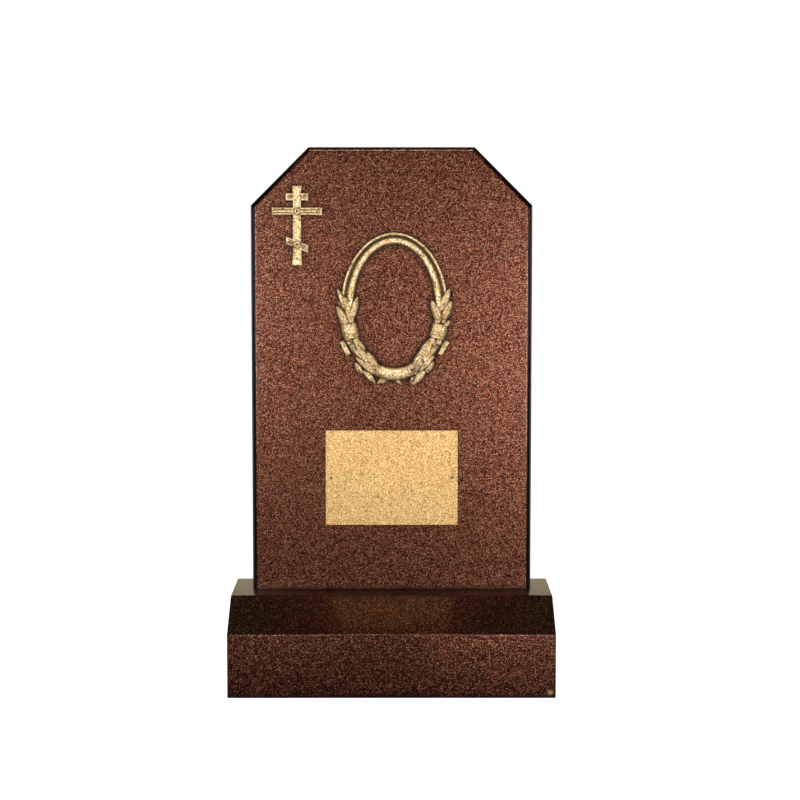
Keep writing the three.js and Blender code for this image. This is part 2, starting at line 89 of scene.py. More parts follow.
steleLow, steleHigh = nodeBox("stele")
plinthLow, plinthHigh = nodeBox("plinth")
plateLow, plateHigh = nodeBox("name_plate")
crossLow, crossHigh = nodeBox("cross")
faceY = steleLow[1]
seatGap = 0.3
castBack = faceY - seatGap  # the flat backs of the castings
tolerance = 0.01


# Materials


def linear(hexColour):
    """An sRGB hex colour as linear RGBA: each channel to the power of the sRGB curve."""
    channels = [int(hexColour[i : i + 2], 16) / 255 for i in (1, 3, 5)]
    bent = [c / 12.92 if c <= 0.04045 else ((c + 0.055) / 1.055) ** 2.4 for c in channels]
    return (*bent, 1.0)


def addNode(tree, kind, inputs=None, **settings):
    node = tree.nodes.new(kind)
    for name, value in settings.items():
        setattr(node, name, value)
    for name, value in (inputs or {}).items():
        socket = node.inputs[name]
        if isinstance(value, bpy.types.NodeSocket):
            tree.links.new(value, socket)
        else:
            socket.default_value = value
    return node


def setRamp(node, stops):
    ramp = node.color_ramp
    while len(ramp.elements) < len(stops):
        ramp.elements.new(0.5)
    for element, (place, colour) in zip(ramp.elements, stops):
        element.position = place
        element.color = linear(colour)
    return node


def newMaterial(name):
    material = bpy.data.materials.new(name)
    material.use_nodes = True
    tree = material.node_tree
    tree.nodes.clear()
    shader = addNode(tree, "ShaderNodeBsdfPrincipled")
    addNode(tree, "ShaderNodeOutputMaterial", {"Surface": shader.outputs["BSDF"]})
    return material, tree, shader


# Hammered antique copper coat: copper islands about 2 mm wide in a dark net,
# under a thin clear gloss
copperCoat = {
    "ground": "#170501",
    "dull": "#793e2a",
    "island": "#925941",
    "fleck": "#b7825f",
    "toneStops": (0.0, 0.25, 0.6, 1.0),  # of ground, dull, island and fleck
    "netEdge": (0.05, 0.4),  # from a cell's edge: where the net ends, and the full island
    "paintedShade": "#0c0502",  # painted shade: darkens the coat in the corners and round the castings, and on the stele's rounded side edges
    "paintedShadeReach": 0.011,
    "paintedShadeOpenness": (0.5, 0.95),  # openness at which the painted shade is full and at which it ends
    "paintedShadeShare": 0.85,
    "paintedShadeSamples": 12,
    "cells": 500.0,  # per metre
    "cellDepth": 0.35,  # scale in Y: cells are longer front to back, which keeps the front even
    "bumpHeight": 0.00008,
    "bumpStrength": 0.6,
    "roughness": 0.34,
    "metallic": 0.92,
    "coat": 0.14,
    "coatRoughness": 0.12,
    "drip": (0.2415, -0.12, 0.0085),  # a light drop of paint near the plinth's right end
    "dripEdge": (0.0028, 0.0052),
    "dripShare": 0.8,
}
cellPattern = {
    "wanderScale": 1.4,  # of the cells' own scale
    "wander": 0.25,  # in cell widths
    "randomness": 0.85,
}


def cellGrain(tree, place, scale):
    """A random tone for each cell of a wandering pattern, and the distance to the cell's edge."""
    wander = addNode(
        tree,
        "ShaderNodeTexNoise",
        {"Vector": place, "Scale": cellPattern["wanderScale"] * scale},
    )
    offset = addNode(
        tree,
        "ShaderNodeVectorMath",
        {0: wander.outputs["Color"], 1: (cellPattern["wander"] / scale,) * 3},
        operation="MULTIPLY",
    )
    moved = addNode(
        tree, "ShaderNodeVectorMath", {0: place, 1: offset.outputs["Vector"]}, operation="ADD"
    )
    inputs = {
        "Vector": moved.outputs["Vector"],
        "Scale": scale,
        "Randomness": cellPattern["randomness"],
    }
    cell = addNode(tree, "ShaderNodeTexVoronoi", inputs, feature="F1")
    edge = addNode(tree, "ShaderNodeTexVoronoi", inputs, feature="DISTANCE_TO_EDGE")
    tone = addNode(tree, "ShaderNodeSeparateColor", {"Color": cell.outputs["Color"]})
    return tone.outputs["Red"], edge.outputs["Distance"]


def mixColours(tree, share, first, second):
    node = addNode(
        tree, "ShaderNodeMix", {"Factor": share, 6: first, 7: second}, data_type="RGBA"
    )
    return node.outputs[2]


def hammeredCopper():
    material, tree, shader = newMaterial("hammered_antique_copper")
    place = addNode(tree, "ShaderNodeTexCoord").outputs["Object"]
    squeezed = addNode(
        tree,
        "ShaderNodeVectorMath",
        {0: place, 1: (1, copperCoat["cellDepth"], 1)},
        operation="MULTIPLY",
    )
    tone, edge = cellGrain(tree, squeezed.outputs["Vector"], copperCoat["cells"])
    islands = addNode(tree, "ShaderNodeValToRGB", {"Fac": tone})
    tones = [copperCoat[key] for key in ("ground", "dull", "island", "fleck")]
    setRamp(islands, list(zip(copperCoat["toneStops"], tones)))
    netEnd, islandStart = copperCoat["netEdge"]
    inIsland = addNode(
        tree,
        "ShaderNodeMapRange",
        {"Value": edge, "From Min": netEnd, "From Max": islandStart},
        interpolation_type="SMOOTHSTEP",
    )
    netted = mixColours(
        tree, inIsland.outputs["Result"], linear(copperCoat["ground"]), islands.outputs["Color"]
    )
    fromDrip = addNode(
        tree, "ShaderNodeVectorMath", {0: place, 1: copperCoat["drip"]}, operation="DISTANCE"
    )
    drip = addNode(
        tree,
        "ShaderNodeMapRange",
        {
            "Value": fromDrip.outputs["Value"],
            "From Min": copperCoat["dripEdge"][0],
            "From Max": copperCoat["dripEdge"][1],
            "To Min": copperCoat["dripShare"],
            "To Max": 0.0,
        },
    )
    dripped = mixColours(tree, drip.outputs["Result"], netted, linear(copperCoat["fleck"]))
    # Painted shade: the coat is darkened where little is open round it, in the corners and round
    # the castings
    openness = addNode(
        tree,
        "ShaderNodeAmbientOcclusion",
        {"Distance": copperCoat["paintedShadeReach"]},
        samples=copperCoat["paintedShadeSamples"],
    )
    shadeNearCastings = addNode(
        tree,
        "ShaderNodeMapRange",
        {
            "Value": openness.outputs["AO"],
            "From Min": copperCoat["paintedShadeOpenness"][0],
            "From Max": copperCoat["paintedShadeOpenness"][1],
            "To Min": copperCoat["paintedShadeShare"],
            "To Max": 0.0,
        },
    )
    # Painted shade on the stele's rounded side edges, read from the point attribute
    paintedEdgeShade = addNode(tree, "ShaderNodeAttribute", attribute_name="patina_and_shade").outputs["Fac"]
    darkest = addNode(
        tree, "ShaderNodeMath", {0: shadeNearCastings.outputs["Result"], 1: paintedEdgeShade}, operation="MAXIMUM"
    )
    coloured = mixColours(tree, darkest.outputs["Value"], dripped, linear(copperCoat["paintedShade"]))
    bump = addNode(
        tree,
        "ShaderNodeBump",
        {
            "Height": edge,
            "Strength": copperCoat["bumpStrength"],
            "Distance": copperCoat["bumpHeight"],
        },
    )
    tree.links.new(coloured, shader.inputs["Base Color"])
    tree.links.new(bump.outputs["Normal"], shader.inputs["Normal"])
    shader.inputs["Metallic"].default_value = copperCoat["metallic"]
    shader.inputs["Roughness"].default_value = copperCoat["roughness"]
    shader.inputs["Coat Weight"].default_value = copperCoat["coat"]
    shader.inputs["Coat Roughness"].default_value = copperCoat["coatRoughness"]
    return material


# Gold bronze, sprayed with a fine grain that is drawn coarser than it is, to be
# seen. The castings carry a dark patina in their hollows, with painted shade there too; the plate
# has none.
goldBronze = {
    "casting": ["#5a3a12", "#deb97d", "#fff2d4"],  # dark, usual and light grains
    "plate": ["#6b4d22", "#b8935a", "#dfc394"],
    "grainStops": (0.0, 0.35, 0.65, 1.0),  # of dark, usual, usual and light
    "patinaAndShade": "#3f2602",
    "patinaAndShadeShare": 0.94,
    "castingGrains": 520.0,  # per metre
    "plateGrains": 820.0,
    "bumpHeight": 0.00012,
    "bumpStrength": 0.5,
    "castingRoughness": 0.46,
    "plateRoughness": 0.45,
    "castingMetallic": 0.5,
    "plateMetallic": 0.9,
}


def goldMetal(name, kind):
    material, tree, shader = newMaterial(name)
    place = addNode(tree, "ShaderNodeTexCoord").outputs["Object"]
    tone, edge = cellGrain(tree, place, goldBronze[kind + "Grains"])
    grain = addNode(tree, "ShaderNodeValToRGB", {"Fac": tone})
    dark, usual, light = goldBronze[kind]
    setRamp(grain, list(zip(goldBronze["grainStops"], (dark, usual, usual, light))))
    # Patina and painted shade in the hollows, read from the point attribute
    patina_and_shade = addNode(tree, "ShaderNodeAttribute", attribute_name="patina_and_shade")
    share = addNode(
        tree,
        "ShaderNodeMath",
        {0: patina_and_shade.outputs["Fac"], 1: goldBronze["patinaAndShadeShare"]},
        operation="MULTIPLY",
    )
    coloured = mixColours(
        tree, share.outputs["Value"], grain.outputs["Color"], linear(goldBronze["patinaAndShade"])
    )
    bump = addNode(
        tree,
        "ShaderNodeBump",
        {
            "Height": edge,
            "Strength": goldBronze["bumpStrength"],
            "Distance": goldBronze["bumpHeight"],
        },
    )
    tree.links.new(coloured, shader.inputs["Base Color"])
    tree.links.new(bump.outputs["Normal"], shader.inputs["Normal"])
    shader.inputs["Metallic"].default_value = goldBronze[kind + "Metallic"]
    shader.inputs["Roughness"].default_value = goldBronze[kind + "Roughness"]
    return material


copperMaterial = hammeredCopper()
bronzeMaterial = goldMetal("gold_bronze", "casting")
plateMaterial = goldMetal("gold_plate", "plate")
print("materials ready")


# Meshes. A form is its points, an array of places in millimetres, and a list of
# arrays of corner numbers, one array for each number of corners.
def gridQuads(rows, columns, rowsLoop=False, columnsLoop=False):
    """Quads of a grid whose point (i, j) has the number i * columns + j."""
    i, j = np.meshgrid(
        np.arange(rows if rowsLoop else rows - 1),
        np.arange(columns if columnsLoop else columns - 1),
        indexing="ij",
    )
    i, j = i.ravel(), j.ravel()
    nextI, nextJ = (i + 1) % rows, (j + 1) % columns
    corners = [i * columns + j, i * columns + nextJ, nextI * columns + nextJ, nextI * columns + j]
    return np.stack(corners, axis=1)


def turnedOut(points, faces):
    """Faces turned outwards: the cones from the middle over them add up to a positive volume."""
    fromMiddle = points - points.mean(0)
    volume = 0
    for part in faces:
        first = fromMiddle[part[:, :1]]
        second = fromMiddle[part[:, 1:-1]]
        third = fromMiddle[part[:, 2:]]
        volume += np.sum(first * np.cross(second, third))
    return faces if volume > 0 else [part[:, ::-1] for part in faces]


def loft(sections, isLoop=False):
    """A closed form through rings of points, shaped (rings, points, 3)."""
    rings, size = sections.shape[:2]
    points = sections.reshape(-1, 3)
    faces = [gridQuads(rings, size, isLoop, True)]
    if not isLoop:
        ring = np.arange(size)
        faces.append(np.stack([ring[::-1], ring + (rings - 1) * size]))
    return points, turnedOut(points, faces)


def smoothCurve(corners, steps):
    """A Catmull-Rom curve through the corners, with some steps from each to the next."""
    corners = np.array(corners, float)
    padded = np.concatenate([corners[:1], corners, corners[-1:]])
    t = np.linspace(0, 1, steps, endpoint=False)[None, :, None]
    before, here, there, after = (padded[k : len(corners) - 1 + k, None] for k in range(4))
    bend = 2 * here + (there - before) * t
    bend = bend + (2 * before - 5 * here + 4 * there - after) * t**2
    bend = bend + (3 * here - before - 3 * there + after) * t**3
    return np.concatenate([(bend / 2).reshape(-1, corners.shape[1]), corners[-1:]])


def makePiece(name, forms, material, nodes, patinaShadeShares=None, sharpAngle=38):
    """A piece from its forms. The shares of patina and painted shade, one a point, become a point
    attribute: patina and painted shade on the castings, painted shade on the stele's rounded side
    edges."""
    points = np.concatenate([form[0] for form in forms])
    starts = np.cumsum([0] + [len(form[0]) for form in forms[:-1]])
    faces = []
    for (_, parts), start in zip(forms, starts):
        for part in parts:
            faces += (part + start).tolist()
    mesh = bpy.data.meshes.new(name)
    mesh.from_pydata((points * mm).tolist(), [], faces)
    mesh.shade_smooth()
    mesh.set_sharp_from_angle(angle=math.radians(sharpAngle))
    if patinaShadeShares is not None:
        attribute = mesh.attributes.new("patina_and_shade", "FLOAT", "POINT")
        attribute.data.foreach_set("value", patinaShadeShares.astype(np.float32))
    mesh.materials.append(material)
    piece = bpy.data.objects.new(name, mesh)
    bpy.context.scene.collection.objects.link(piece)
    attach(piece, "root")
    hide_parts(*nodes)


# Folded sheet cases: the stele and the plinth
stele = {
    "sheet": 1.5,
    "cornerClip": 90.0,
    "edgeRadius": 8.0,
    "cornerRadius": 2.5,
    "edgeSteps": 14,
    "edgeShade": 0.85,  # painted shade darkens the rounded side edges
    "edgeShadeTurn": 6.0,  # degrees of the edge's turn from the face over which the painted shade comes in
}
plinth = {
    "sheet": 1.5,
    "frontHeight": 98.0,
    "slopeDepth": 88.0,
    "edgeRadius": 1.6,
    "bendRadius": 3.0,
    "edgeSteps": 5,
    "flange": 25.0,
    "flangeInset": 0.1,
    "flangeFoot": 0.05,
}
bendPoints = 7
leastRadius = 0.2
capReach = 2.0  # how far past the rounded edge a flat side begins as one face


def roundedPath(corners, inset, radius):
    """An open path moved to its right by the inset, each inner corner rounded by a curve."""
    corners = np.array(corners, float)
    ways = np.diff(corners, axis=0)
    ways /= np.linalg.norm(ways, axis=1)[:, None]
    rights = np.stack([ways[:, 1], -ways[:, 0]], axis=1)
    before = np.concatenate([rights[:1], rights])
    after = np.concatenate([rights, rights[-1:]])
    mitre = (before + after) / (1 + np.sum(before * after, axis=1))[:, None]
    moved = corners + inset * mitre
    turns = np.arccos(np.clip(np.sum(ways[:-1] * ways[1:], axis=1), -1, 1))
    setback = (radius * np.tan(turns / 2))[:, None]
    start = moved[1:-1] - ways[:-1] * setback
    end = moved[1:-1] + ways[1:] * setback
    t = np.linspace(0, 1, bendPoints)[None, :, None]
    arcs = start[:, None] * (1 - t) ** 2 + end[:, None] * t**2
    arcs = arcs + 2 * moved[1:-1, None] * t * (1 - t)
    return np.concatenate([moved[:1], arcs.reshape(-1, 2), moved[-1:]])


def caseShell(corners, low, high, inset, radius, cornerRadius, steps):
    """Rings of a shell from its low side to its high side; each edge is a quarter circle."""
    turn = np.linspace(math.pi / 2, 0, steps)
    insets = np.concatenate([[radius + capReach], radius * (1 - np.cos(turn))])
    depths = np.concatenate([[0], radius * (1 - np.sin(turn))])
    rings = [(inset + i, low + inset + d) for i, d in zip(insets, depths)]
    rings += [(inset + i, high - inset - d) for i, d in zip(insets[::-1], depths[::-1])]
    paths = [roundedPath(corners, i, cornerRadius) for i, _ in rings]
    levels = [np.full(len(path), level) for path, (_, level) in zip(paths, rings)]
    return np.array([np.column_stack(both) for both in zip(paths, levels)])


def sheetCase(corners, low, high, sizes, cornerRadius, axes):
    """A case of sheet, open along the straight line between the path's ends.
    The path lies in the first two axes and the case reaches along the third."""
    shared = (cornerRadius, sizes["edgeSteps"])
    outside = caseShell(corners, low, high, 0, sizes["edgeRadius"], *shared)
    innerRadius = max(sizes["edgeRadius"] - sizes["sheet"], leastRadius)
    inside = caseShell(corners, low, high, sizes["sheet"], innerRadius, *shared)
    rings, size = outside.shape[:2]
    count = rings * size
    quads = gridQuads(rings, size)
    ring = np.arange(size)
    caps = np.stack([ring[::-1], ring + (rings - 1) * size])
    lip = np.concatenate([np.arange(rings) * size, np.arange(rings)[::-1] * size + size - 1])
    nextLip = np.roll(lip, -1)
    rim = np.stack([lip, nextLip, nextLip + count, lip + count], axis=1)
    faces = [quads, caps, quads[:, ::-1] + count, caps[:, ::-1] + count, rim]
    points = np.concatenate([outside.reshape(-1, 3), inside.reshape(-1, 3)])
    points = points[:, np.argsort(axes)]
    return points, turnedOut(points, faces)


def makeStele():
    half = steleHigh[0]
    foot, top = steleLow[2], steleHigh[2]
    clip = stele["cornerClip"]
    corners = [
        (-half, foot),
        (-half, top - clip),
        (-half + clip, top),
        (half - clip, top),
        (half, top - clip),
        (half, foot),
    ]
    axes = (0, 2, 1)
    case = sheetCase(corners, steleLow[1], steleHigh[1], stele, stele["cornerRadius"], axes)
    points = case[0]
    # Painted shade: the rounded side edges are darkened, more the further they turn from the face
    toSide = half - np.abs(points[:, 0])
    toFace = points[:, 1] - steleLow[1]
    turn = np.arctan2(stele["edgeRadius"] - toSide, stele["edgeRadius"] - toFace)
    onEdge = (toSide < stele["edgeRadius"] - tolerance) & (toFace < stele["edgeRadius"])
    edgeShadeRamp = np.clip(turn / math.radians(stele["edgeShadeTurn"]), 0, 1)
    paintedEdgeShade = np.where(onEdge, stele["edgeShade"] * edgeShadeRamp, 0)
    makePiece("stele_case", [case], copperMaterial, ["stele"], paintedEdgeShade)


def makePlinth():
    front, back, top = plinthLow[1], plinthHigh[1], plinthHigh[2]
    corners = [
        (front, 0),
        (front, plinth["frontHeight"]),
        (front + plinth["slopeDepth"], top),
        (back, top),
        (back, 0),
    ]
    axes = (1, 2, 0)
    case = sheetCase(corners, plinthLow[0], plinthHigh[0], plinth, plinth["bendRadius"], axes)
    # The flange under it, a flat frame set in from the sheet's outside by a hair
    outer = np.array([plinthHigh[0], plinthHigh[1]]) - plinth["flangeInset"]
    inner = outer - plinth["flange"] + plinth["flangeInset"]
    low, high = plinth["flangeFoot"], plinth["sheet"]
    ring = [(outer, low), (inner, low), (inner, high), (outer, high)]
    signs = np.array([[1, 1], [-1, 1], [-1, -1], [1, -1]])
    frameRings = np.array([[[*(sign * size), z] for size, z in ring] for sign in signs])
    makePiece(
        "plinth_case",
        [case, loft(frameRings, isLoop=True)],
        copperMaterial,
        ["plinth"],
    )


makeStele()
makePlinth()
print("sheet cases ready")


# Dark patina and painted shade: a casting is darkened where it lies below what is round it
def recessPatinaShade(points, cell, reach, drop, spared=0.2):
    """How far each point lies below the mean height around it, as a share of the drop,
    less the spared share."""
    margin, tail = 4 * reach, int(3 * reach / cell)
    height = castBack - points[:, 1]
    low = points.min(0) - margin
    size = np.ceil((points.max(0) + margin - low) / cell).astype(int)
    column = ((points[:, 0] - low[0]) / cell).astype(int)
    row = ((points[:, 2] - low[2]) / cell).astype(int)
    relief = np.zeros((size[0], size[2]))
    np.maximum.at(relief, (column, row), height)
    for axis in (0, 1):
        shifted = [np.roll(relief, step, axis) for step in (-1, 0, 1)]
        relief = np.maximum.reduce(shifted)
    steps = np.arange(-tail, tail + 1)
    weights = np.exp(-0.5 * (steps * cell / reach) ** 2)
    weights /= weights.sum()
    for axis in (0, 1):
        relief = sum(w * np.roll(relief, step, axis) for w, step in zip(weights, steps))
    return np.clip((relief[column, row] - height) / drop - spared, 0, 1)


# Wreath frame: a moulded oval ring, a plain roll at its foot, laurel leaves up
# both sides and ribbon cuffs. Angles run round the oval from its bottom.
wreath = {
    "innerWidth": 126.2,
    "innerHeight": 192.8,
    "ringWidth": 19.6,
    "ringHeight": 9.6,
    "crownNarrowing": 0.1,
    "shift": 4.2,
    "centreZ": 589.05,
    "rollHalfAngle": 21.0,
    "rollWidth": 19.8,
    "rollShift": -0.5,
    "rollHeight": 12.4,
    "cuffFrom": 62.5,
    "cuffTo": 75.0,
    "cuffWidth": 26.0,
    "cuffShift": 1.2,
    "cuffHeight": 14.4,
    "ribbonWidth": 6.6,
    "ribbonHeight": 5.4,
    # start and end of each ribbon end: angle, and place across in ring widths
    "ribbonEnds": [((62.5, 0.96), (51, 0.86)), ((60, 0.3), (60, 1))],
    "knotAngle": 60.5,
    "knotAcross": 0.34,  # in ring widths, as are the next two
    "knotRadii": (0.28, 0.36),
    "knotHeight": 0.9,  # of the cuff's height
    "bedHeight": 0.8,  # of the ring's height, for the band under the lower leaves
    "bedLap": 2.0,  # degrees under the roll and under the cuff
    "leafSpread": 1.08,
    "midribDepth": 0.08,
    "veinDepth": 0.012,
    "patinaAndShade": (1.0, 1.3, 2.4),  # cell, reach and drop of the hollows, for their patina and painted shade
    "ringSteps": 420,
    "bandPoints": (60, 33),  # along and across, as are the next two
    "leafPoints": (34, 27),
    "ribbonPoints": (24, 9),
    "knotPoints": (16, 40),  # up and round
}
halfWidth = (wreath["innerWidth"] + wreath["ringWidth"]) / 2
halfHeight = (wreath["innerHeight"] + wreath["ringWidth"]) / 2


def ovalFrame(degrees, side):
    """Place, way along and way outwards at (a sin t, -b cos t) on the middle of the ring."""
    turn = np.radians(np.asarray(degrees, float))
    sine, cosine = np.sin(turn), np.cos(turn)
    flip = np.array([side, 1])
    place = np.stack([halfWidth * sine, -halfHeight * cosine], axis=-1) * flip
    along = np.stack([halfWidth * cosine, halfHeight * sine], axis=-1) * flip
    outwards = np.stack([halfHeight * sine, -halfWidth * cosine], axis=-1) * flip
    unit = [v / np.linalg.norm(v, axis=-1, keepdims=True) for v in (along, outwards)]
    return place, unit[0], unit[1]


def onFace(place, height):
    """Points of the wreath from places in its own plane and heights off its back."""
    place, height = np.broadcast_arrays(place, np.asarray(height)[..., None])
    x = place[..., 0] + wreath["shift"]
    return np.stack([x, castBack - height[..., 0], place[..., 1] + wreath["centreZ"]], axis=-1)


def onOval(degrees, side, across, height):
    degrees, across, height = np.broadcast_arrays(degrees, across, height)
    place, _, outwards = ovalFrame(degrees, side)
    return onFace(place + outwards * across[..., None], height)


def ringSpot(degrees, side, across):
    """A place in the wreath's plane, across in ring widths from the middle of the ring."""
    place, _, outwards = ovalFrame(degrees, side)
    return place + outwards * across * wreath["ringWidth"]


def bladeForm(spot, rise):
    """A closed form over a grid of places, with its back flat."""
    edges = onFace(spot[:, [-1, 0]], 0.0)
    return loft(np.concatenate([onFace(spot, rise), edges], axis=1))


def makeRing():
    """The ring's section, a bead, a cove and a broad roll, carried round the oval."""
    section = smoothCurve(
        [
            (0.5, 0.0),
            (0.5, 0.4),
            (0.48, 0.56),
            (0.42, 0.6),
            (0.34, 0.58),
            (0.28, 0.38),
            (0.2, 0.26),
            (0.12, 0.4),
            (0.05, 0.76),
            (-0.05, 0.95),
            (-0.2, 1.0),
            (-0.36, 0.94),
            (-0.46, 0.7),
            (-0.5, 0.3),
            (-0.5, 0.0),
        ],
        steps=5,
    )
    degrees = np.linspace(0, 360, wreath["ringSteps"], endpoint=False)[:, None]
    narrowed = 1 - wreath["crownNarrowing"] * np.maximum(-np.cos(np.radians(degrees)), 0) ** 2
    across = (section[None, :, 0] + 0.5) * narrowed - 0.5
    height = np.maximum(section[None, :, 1], 0)
    across, height = across * wreath["ringWidth"], height * wreath["ringHeight"]
    return loft(onOval(degrees, 1, across, height), isLoop=True)


def makeBand(fromAngle, toAngle, side, width, height, shift=0.0, relief=None):
    """An arched band over the ring: height h (1/4 + 3/4 sin t ^ 0.7) across, swelling midway."""
    lengthwise, crosswise = wreath["bandPoints"]
    share = np.linspace(0, 1, lengthwise)[:, None]
    turn = np.linspace(0, math.pi, crosswise)[None, :]
    swell = 0.93 + 0.07 * np.sin(np.pi * share)
    across = shift + np.cos(turn) * width * swell / 2
    rise = height * swell * (0.25 + 0.75 * np.sin(turn).clip(0) ** 0.7)
    if relief is not None:
        rise = rise * relief(share, np.cos(turn))
    degrees = fromAngle + (toAngle - fromAngle) * share
    arch = onOval(degrees, side, across, rise)
    feet = onOval(degrees, side, shift + np.array([[-1, 1]]) * width * swell / 2, 0.0)
    return loft(np.concatenate([feet[:, 1:], arch, feet[:, :1]], axis=1))


def rollRims(share, across):
    """Raised rims near both ends of the roll, two at the right end."""
    rims = sum(np.exp(-(((share - place) / 0.016) ** 2)) for place in (0.03, 0.915, 0.975))
    return 1 + 0.07 * rims + 0 * across


def cuffFolds(share, across):
    """A smooth cuff with a raised hem at both ends and one shallow crease across it."""
    hems = np.exp(-(((share - 0.04) / 0.05) ** 2)) + np.exp(-(((share - 0.95) / 0.06) ** 2))
    crease = np.exp(-(((share - 0.3 - 0.22 * across) / 0.03) ** 2))
    return 0.93 + 0.07 * hems - 0.09 * crease


def makeLeaf(side, leaf):
    """A leaf with two lobes, a sunk midrib and faint side veins, closed at its back."""
    degrees, across, lean, length, width, height = leaf
    place, along, outwards = ovalFrame(degrees, side)
    base = place + outwards * across * wreath["ringWidth"]
    turn = math.radians(lean)
    forward = along * math.cos(turn) + outwards * math.sin(turn)
    sideways = np.array([-forward[1], forward[0]])
    lengthwise, crosswise = wreath["leafPoints"]
    share = np.linspace(0, 1, lengthwise)[:, None]
    v = np.sin(np.linspace(-math.pi / 2, math.pi / 2, crosswise))[None, :]
    taper = np.maximum(np.sin(np.pi * (0.15 + 0.85 * share)).clip(0) ** 0.62, 0.06)
    halfLeaf = wreath["leafSpread"] * width * wreath["ringWidth"] * taper / 2
    rise = 0.72 + 0.28 * np.sin(np.pi * (0.05 + 0.9 * share))
    lobes = 0.52 + 0.48 * (1 - np.abs(v) ** 3).clip(0) ** 0.6
    midrib = wreath["midribDepth"] * np.exp(-((v / 0.18) ** 2))
    veins = np.sin(2 * np.pi * (6 * share - 1.4 * np.abs(v))) * (1 - np.abs(v))
    veins = wreath["veinDepth"] * veins
    rise = height * wreath["ringHeight"] * rise * (lobes - midrib + veins)
    spot = base + forward * (share * length * wreath["ringWidth"])[..., None]
    spot = spot + sideways * (v * halfLeaf)[..., None]
    return bladeForm(spot, rise)


def makeRibbonEnd(side, start, end):
    """A flat ribbon end with a square tip, wavy along its length."""
    first, last = (ringSpot(degrees, side, across) for degrees, across in (start, end))
    forward = (last - first) / np.linalg.norm(last - first)
    sideways = np.array([-forward[1], forward[0]]) * wreath["ribbonWidth"] / 2
    lengthwise, crosswise = wreath["ribbonPoints"]
    share = np.linspace(0, 1, lengthwise)[:, None]
    v = np.linspace(-1, 1, crosswise)[None, :]
    wave = wreath["ribbonHeight"] * (1 + 0.22 * np.cos(2 * np.pi * share))
    rise = wave * (0.86 - 0.1 * v + 0.04 * np.cos(2 * np.pi * v))
    spot = first + (last - first) * share[..., None] + sideways * v[..., None]
    return bladeForm(spot, rise)


def makeKnot(side):
    """An egg low on the outer side of a cuff, with a dimple where the ribbon turns over."""
    middle = ringSpot(wreath["knotAngle"], side, wreath["knotAcross"])
    levels, around = wreath["knotPoints"]
    turn = np.linspace(0, 2 * math.pi, around, endpoint=False)[None, :]
    lift = np.linspace(0, 0.499 * math.pi, levels)[:, None]
    radii = np.array(wreath["knotRadii"]) * wreath["ringWidth"]
    circles = np.stack([np.cos(turn) * np.cos(lift), np.sin(turn) * np.cos(lift)], axis=-1)
    dimple = 0.3 * np.exp(-((np.cos(lift) / 0.35) ** 2))
    height = wreath["knotHeight"] * wreath["cuffHeight"] * (np.sin(lift) - dimple) + 0 * turn
    return loft(onFace(middle + circles * radii, height))


# Each leaf: angle, place across in ring widths, lean in degrees, then length and
# width in ring widths and height in ring heights
leftLeaves = [
    (84.5, 0, 19, 2.1, 0.48, 1.1),
    (87, 0.32, 28, 0.85, 0.28, 0.66),
    (76.5, -0.14, 3, 2.05, 0.52, 1.22),
    (77.5, -0.16, -25, 2, 0.6, 1.3),
    (73.5, 0.14, 17, 1.8, 0.64, 1.34),
    (72, 0.3, 23, 1, 0.3, 1.04),
    (75.5, -0.16, -33, 0.6, 0.26, 1.14),
    (49, -0.18, -3, 1.25, 0.56, 1.2),
    (46, -0.34, -2, 1.2, 0.46, 1.1),
    (42, 0.16, 2, 1.1, 0.36, 1.14),
    (36, -0.04, 7, 1.3, 0.44, 1.24),
    (32, -0.04, -11, 1.85, 0.54, 1.34),
    (22.5, -0.02, -30, 1.6, 0.64, 1.4),
    (17.5, 0.24, -51, 1, 0.46, 1.4),
    (21.5, 0.34, -10, 2, 0.5, 1.38),
    (20, 0.2, -13, 1.6, 0.46, 1.32),
    (31.5, 0.98, -19, 1, 0.46, 1.06),
    (32, 0.66, 173, 1.4, 0.5, 1),
    (10.5, 0.34, 56, 0.75, 0.34, 0.6),
]
rightLeaves = [
    (87, 0, 20, 1.8, 0.64, 1.18),
    (77, -0.02, -30, 1.85, 0.68, 1.34),
    (79.5, 0.26, 15, 1.6, 0.64, 1.28),
    (73, 0.32, 35, 0.75, 0.46, 1.14),
    (76, 0.12, 46, 0.5, 0.28, 1.2),
    (47, -0.22, -10, 1.25, 0.56, 1.2),
    (45, 0.14, 4, 1.05, 0.42, 1.16),
    (37, -0.32, -16, 1.6, 0.56, 1.28),
    (34.5, -0.06, -13, 1.7, 0.56, 1.36),
    (32, -0.08, 3, 1.65, 0.56, 1.3),
    (28, 0.36, -6, 1.65, 0.56, 1.3),
    (25.5, 0, -33, 1.6, 0.6, 1.4),
    (25, 0.26, -29, 1.5, 0.46, 1.4),
    (32, 0.84, -12, 1.05, 0.48, 1.06),
    (31.5, 0.68, 172, 1.5, 0.56, 1),
    (19.5, 0.52, 130, 0.65, 0.28, 0.6),
    (-9, 0.3, 113, 0.6, 0.42, 0.7),
    (0, 0.34, 39, 0.8, 0.26, 0.7),
]


